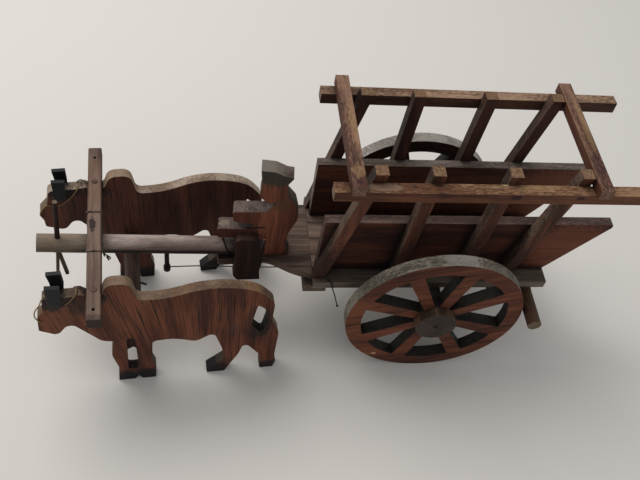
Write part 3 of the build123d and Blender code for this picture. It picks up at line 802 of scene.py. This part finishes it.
class TOYCART_OT_sides(Operator):
    """Stains the side panels and stakes, and the worn rails and crossbars"""

    bl_idname = "toy_cart.sides"
    bl_label = "Sides and rails"

    def execute(self, context):
        for number, side in enumerate(("left", "right")):
            self.panel(number, side)
            self.rail(number, side)
            self.stakes(number, side)
        self.crossbars()
        return {"FINISHED"}

    def panel(self, number, side):
        """The board side, paler towards its rear."""
        stain, edge = {
            "left": ((paint(92, 50, 35), paint(54, 29, 22)), (paint(112, 90, 80), paint(66, 50, 43))),
            "right": ((paint(92, 54, 38), paint(60, 33, 24)), (paint(132, 120, 110), paint(88, 74, 65))),
        }[side]
        finish = cart_board(
            f"stained {side} panel", "X", stain, 21 + number, faces=(0, 1, 0), edge=edge, streaks=0.7,
            # deep painted shade, with some grime, in the corners beside the stakes
            veins=0.35, worn=paint(96, 74, 60), grime=(0.95, 0.6, 0.88),
            spots=[Spot((104, 0, 112), (40, 90, 40), paint(128, 72, 48), 0.5, "face")],
        )
        dress([f"panel_{side}"], finish)

    def rail(self, number, side):
        """The bar on the stakes, worn on top, with knots and glue marks on the near one."""
        tan = settings().colours.tan_light
        stain, edge = {
            "left": ((paint(112, 68, 46), paint(76, 44, 31)), (tan, paint(92, 58, 38))),
            "right": ((paint(84, 54, 40), paint(50, 31, 24)), (paint(162, 132, 108), paint(94, 66, 48))),
        }[side]
        near_spots = [
            Spot((30, -52, 197), (4.5, 5, 2.6), KNOT, 0.9, "face"),
            Spot((77, -52, 197), (3.4, 5, 2.2), KNOT, 0.85, "face"),
            Spot((-21, -52, 197), (5, 5, 2.0), KNOT, 0.6, "face"),
            Spot((-5, -42.5, RAIL_TOP), (7, 2.2, 4), GLUE, 0.45, "edge"),
            Spot((23, -42.5, RAIL_TOP), (3, 1.8, 4), paint(184, 162, 122), 0.7, "edge"),
            Spot((46, -45, RAIL_TOP), (18, 4, 4), GLUE, 0.3, "edge"),
            Spot((-62, -47, RAIL_TOP), (14, 3.5, 4), paint(156, 136, 118), 0.35, "edge"),
            Spot((-41, -46, RAIL_TOP), (2.4, 1.4, 4), KNOT, 0.7, "edge"),
            Spot((-52, -43, RAIL_TOP), (1.4, 1.6, 4), KNOT, 0.7, "edge"),
            Spot((14, -47, RAIL_TOP), (9, 1.2, 4), KNOT, 0.35, "edge"),
        ]
        finish = cart_board(
            f"worn {side} rail", "X", stain, 23 + number, faces=(0, 1, 0), edge=edge, streaks=0.4,
            dirt=0.7, grit=0.5, ends=((1, 0, 0), paint(138, 116, 98), paint(84, 66, 54)),
            worn=paint(158, 122, 92), spots=near_spots if side == "left" else [],
        )
        dress([f"rail_{side}"], finish)

    def stakes(self, number, side):
        """The four slanting stakes, with painted shade low down on the near side."""
        stain, edge = {
            "left": ((paint(112, 67, 47), paint(70, 41, 30)), (paint(108, 88, 74), paint(58, 42, 34))),
            "right": ((paint(74, 43, 34), paint(42, 25, 21)), (paint(92, 70, 57), paint(44, 31, 25))),
        }[side]
        # painted shade on the lower part of the near stakes, on their faces and their sides
        low = [
            Spot((0, -46, 96), (200, 24, 34), paint(40, 23, 19), 0.7, "face"),
            Spot((0, -46, 92), (200, 24, 30), paint(46, 35, 31), 0.6, "edge"),
        ]
        for stake in range(1, 5):
            finish = cart_board(
                f"stained {side} stake {stake}", "Z", stain, 25 + 4 * number + stake, faces=(0, 1, 0),
                edge=edge, ends=((0, 0, 1), paint(142, 110, 80), paint(84, 60, 44)), streaks=0.4,
                worn=paint(120, 88, 66), spots=low if side == "left" else [],
            )
            dress([f"stake_{side}_{stake}"], finish)

    def crossbars(self):
        """The two bars across the rails, with glue marks and knots on top."""
        tints = settings().colours
        stain = (tints.tan_dark, tints.stain_dark)
        spots = [
            Spot((-78, 4, CROSSBAR_TOP), (3, 24, 4), GLUE, 0.3, "edge"),
            Spot((-80, -40, CROSSBAR_TOP), (5, 6, 4), GLUE, 0.3, "edge"),
            Spot((-81, -24, CROSSBAR_TOP), (3, 9, 4), KNOT, 0.35, "edge"),
            Spot((-80, -49, CROSSBAR_TOP), (3, 2, 4), KNOT, 0.5, "edge"),
            Spot((-83, 30, CROSSBAR_TOP), (3, 14, 4), KNOT, 0.3, "edge"),
            Spot((94, 8, CROSSBAR_TOP), (2.4, 30, 4), GLUE, 0.35, "edge"),
            Spot((90, 26, CROSSBAR_TOP), (2, 20, 4), KNOT, 0.3, "edge"),
            Spot((92, -30, CROSSBAR_TOP), (5, 12, 4), KNOT, 0.35, "edge"),
        ]
        for number, place in enumerate(("front", "rear")):
            finish = cart_board(
                f"worn crossbar {place}", "Y", stain, 41 + number, faces=(1, 0, 0),
                edge=(paint(138, 104, 83), paint(74, 45, 36)), streaks=0.4, dirt=0.7,
                ends=((0, 1, 0), paint(134, 104, 84), paint(84, 60, 48)),
                worn=tints.tan_light, spots=spots,
            )
            dress([f"crossbar_{place}"], finish)


class TOYCART_OT_wheels(Operator):
    """Stains the wheel boards, with grey rims, and the turned naves"""

    bl_idname = "toy_cart.wheels"
    bl_label = "Wheels"

    def execute(self, context):
        rims = {
            "left": (paint(146, 138, 124), paint(88, 81, 70)),
            "right": (paint(176, 170, 164), paint(130, 122, 114)),
        }
        # painted shade on the wheels' inner faces, which look towards the cart
        inner_face_shade = {
            "left": Spot((0, -55, AXLE_HEIGHT), (300, 6, 300), paint(60, 36, 28), 0.5, "face"),
            "right": Spot((0, 55, AXLE_HEIGHT), (300, 6, 300), paint(36, 22, 18), 0.8, "face"),
        }
        # painted shade on the spokes' sides and on the walls of the windows between them
        window_shade = Spot((0, 0, AXLE_HEIGHT), (SPOKE_REACH, 300, SPOKE_REACH), paint(25, 23, 20), 0.9,
                       "edge", True)
        for number, side in enumerate(("left", "right")):
            board = cart_board(
                f"stained {side} wheel", "X", (paint(124, 70, 47), paint(86, 46, 31)), 51 + number,
                faces=(0, 1, 0), edge=rims[side], streaks=0.9, lean=0.25, worn=paint(104, 76, 60),
                grit=0.6, dirt=0.4, veins=0.3,
                spots=[
                    inner_face_shade[side],
                    window_shade,
                    # painted highlight along the top of the rim
                    Spot((6, 0, 140), (16, 300, 8), paint(160, 154, 144), 0.6, "edge"),
                    Spot((0, 0, 2), (50, 300, 18), paint(44, 26, 20), 0.45, "face"),
                    Spot((-39.2, -67.5, 18.6), (2.2, 2, 1.2), paint(196, 160, 128), 0.9, "face"),
                ],
            )
            dress([f"wheel_{side}"], board)
            nave = cart_board(
                f"turned {side} nave", "Y", (paint(116, 90, 72), paint(66, 48, 38)), 53 + number,
                streaks=0.3, ends=((0, 1, 0), paint(70, 60, 55), paint(34, 29, 27)),
                worn=paint(118, 96, 80),
            )
            dress([f"nave_{side}"], nave)
        return {"FINISHED"}


class TOYCART_OT_wires(Operator):
    """Ties the yoke and the pole with wire, and strings the wire under the pole"""

    bl_idname = "toy_cart.wires"
    bl_label = "Binding wire"

    def execute(self, context):
        tints = settings().colours
        thick = settings().sizes.wire_thick
        coat = plain_finish("dull binding wire", tints.wire, paint(30, 25, 23), 0.5, metal=0.7, scale=0.8)
        # the lashing wire is paler partly as a painted sheen on bright wire
        bare = plain_finish("pale lashing wire with painted sheen", tints.pale_wire_and_sheen, paint(52, 42, 36), 0.45, metal=0.6,
                            scale=0.3)

        def tied(name, rows, closed=False, material=coat):
            return strand(name, [from_team(*row) for row in rows], thick, material, closed)

        tied("yoke_lashing", [
            (-6.9, 15.8, 121.9), (-6.4, 16.8, 122.1), (3.4, 16.4, 122.1), (4.2, 15.4, 121.4),
            (4.2, 7.2, 98.5), (4.2, 3, 97.0), (4.2, -4.5, 96.9), (4.2, -8.2, 98.8),
            (4.2, -18.8, 121.4), (3.4, -19.8, 122.1), (-6.4, -19.3, 122.1), (-7.0, -18.3, 121.4),
            (-7.0, -8.2, 100.0), (-7.0, -4.5, 98.1), (-7.0, 3, 98.0), (-7.0, 7.2, 99.8),
        ], closed=True, material=bare)
        tied("lashing_twist", [
            (4.4, -19.6, 119.4), (6.0, -19.8, 117.0), (8.4, -20.0, 115.2), (9.4, -20.0, 112.6),
            (8.2, -19.4, 110.8), (6.8, -18.9, 111.4), (6.6, -18.8, 113.6), (7.9, -19.2, 113.2),
            (7.6, -19.0, 109.2),
        ])
        tied("pole_tie", [
            (92.0, 0, 102.8), (93.4, -6.0, 100.2), (95.8, -8.0, 94.6), (98.2, -6.0, 89.0),
            (99.6, 0, 86.7), (98.2, 6.0, 89.0), (95.8, 8.0, 94.6), (93.4, 6.0, 100.2),
        ], closed=True)
        tied("pole_tie_end", [
            (92.2, -2.0, 102.6), (91.4, -2.8, 105.0), (90.8, -3.0, 108.0), (90.9, -3.0, 111.0),
        ])
        bearer_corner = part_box("bearer_front")[0]
        wire_end = Vector((bearer_corner.x, from_team(153.4, -8.2, 0).y, UNDER_WIRE_END * MM))
        under = [from_team(*row) for row in (
            (51.6, 0.6, 70.2), (76.5, 0.2, 70.0), (100.7, -2.6, 69.9), (122.0, -4.9, 69.9),
        )]
        strand("under_wire", under + [wire_end], thick, coat)
        self.loose_wire(coat, thick)
        return {"FINISHED"}

    def loose_wire(self, coat, thick):
        """The end of a wire that hangs from the sill's front, with a bead of solder on it."""
        rows = [
            (-84.6, -40.6, 86.5), (-82.2, -43.6, 87.0), (-80.8, -44.6, 84.0), (-79.7, -44.5, 78.6),
            (-76.9, -44.5, 70.4), (-74.3, -44.5, 61.0), (-72.4, -44.5, 54.6),
        ]
        route = [from_cart(*row) for row in rows]
        wire = strand("loose_wire", route, thick, coat)
        profile = [
            (0, -1.1 * MM), (0.7 * MM, -0.8 * MM), (1.0 * MM, 0), (0.7 * MM, 0.8 * MM), (0, 1.1 * MM),
        ]
        bead = turned("wire_bead", profile, route[-1], coat)


class TOYCART_OT_threads(Operator):
    """Winds the thin halter threads round the bullocks' heads"""

    bl_idname = "toy_cart.threads"
    bl_label = "Halter threads"

    def execute(self, context):
        tints = settings().colours
        thick = settings().sizes.thread_thick
        coat = plain_finish("tan thread", tints.thread, paint(104, 86, 62), 0.8, scale=1.4)
        dark = plain_finish("dark thread", paint(56, 46, 40), paint(34, 28, 26), 0.75, scale=1.4)

        def wound(name, side, rows, material):
            points = [from_board(side, *row) for row in rows]
            return strand(name, points, thick, material)

        wound("right_halter", "right", [
            (-44.2, -4.3, 91.0), (-46.6, -4.5, 93.6), (-46.4, -4.6, 97.4), (-44.0, -4.5, 101.6),
            (-40.5, -4.4, 106.0), (-36.4, -4.4, 103.6), (-32.2, -4.4, 103.5), (-28.0, -4.4, 106.1),
            (-23.6, -4.5, 110.4), (-20.4, -4.6, 114.8), (-17.2, -4.8, 120.6), (-15.4, -3.1, 124.4),
            (-15.2, 0.2, 124.6), (-13.6, 1.2, 122.2),
        ], coat)
        wound("right_neck_end", "right", [
            (-16.6, 3.0, 120.9), (-15.2, 2.6, 123.4), (-12.8, 1.6, 124.4), (-10.8, 0.2, 123.2),
            (-9.4, -0.2, 121.8),
        ], dark)
        wound("left_halter", "left", [
            (-38.6, -4.3, 91.4), (-41.4, -4.6, 94.6), (-43.4, -4.5, 100.4), (-42.0, -3.9, 106.6),
            (-38.2, -2.8, 111.2), (-37.6, 1.0, 111.4), (-37.0, 3.9, 108.4), (-33.0, 4.4, 104.2),
            (-27.0, 4.4, 103.6), (-21.0, 4.4, 108.4), (-16.4, 4.5, 116.8), (-14.0, 4.1, 121.8),
            (-13.2, 0.4, 123.0), (-13.6, -3.8, 122.4), (-15.9, -4.5, 119.0), (-19.3, -4.4, 114.0),
            (-21.4, -4.4, 112.4),
        ], coat)
        wound("left_neck_end", "left", [
            (-13.4, 2.6, 122.6), (-11.6, 2.4, 123.4), (-9.4, 1.6, 122.6), (-7.4, 1.0, 121.6),
        ], dark)
        return {"FINISHED"}


class TOYCART_PT_panel(Panel):
    """Lists the steps that finish the toy"""

    bl_label = "Bullock Cart"
    bl_idname = "TOYCART_PT_panel"
    bl_space_type = "VIEW_3D"
    bl_region_type = "UI"
    bl_category = "Bullock Cart"

    def draw(self, context):
        layout = self.layout
        for step in STEPS:
            layout.operator(step.bl_idname)
        for group in (settings().colours, settings().sizes, settings().stage):
            box = layout.box()
            for key in group.__annotations__:
                box.prop(group, key)


STEPS = (
    TOYCART_OT_stage,
    TOYCART_OT_wires,
    TOYCART_OT_threads,
    TOYCART_OT_bullocks,
    TOYCART_OT_pole,
    TOYCART_OT_driver,
    TOYCART_OT_bed,
    TOYCART_OT_sides,
    TOYCART_OT_wheels,
)
GROUPS = (ToyColours, ToySizes, ToyStage, ToyCartSettings)


def register():
    for kind in GROUPS + STEPS + (TOYCART_PT_panel,):
        bpy.utils.register_class(kind)
    bpy.types.Scene.toy_cart = PointerProperty(type=ToyCartSettings)


def unregister():
    del bpy.types.Scene.toy_cart
    for kind in reversed(GROUPS + STEPS + (TOYCART_PT_panel,)):
        bpy.utils.unregister_class(kind)


def main():
    register()
    for step in STEPS:
        family, name = step.bl_idname.split(".")
        getattr(getattr(bpy.ops, family), name)()


if __name__ == "__main__":
    main()
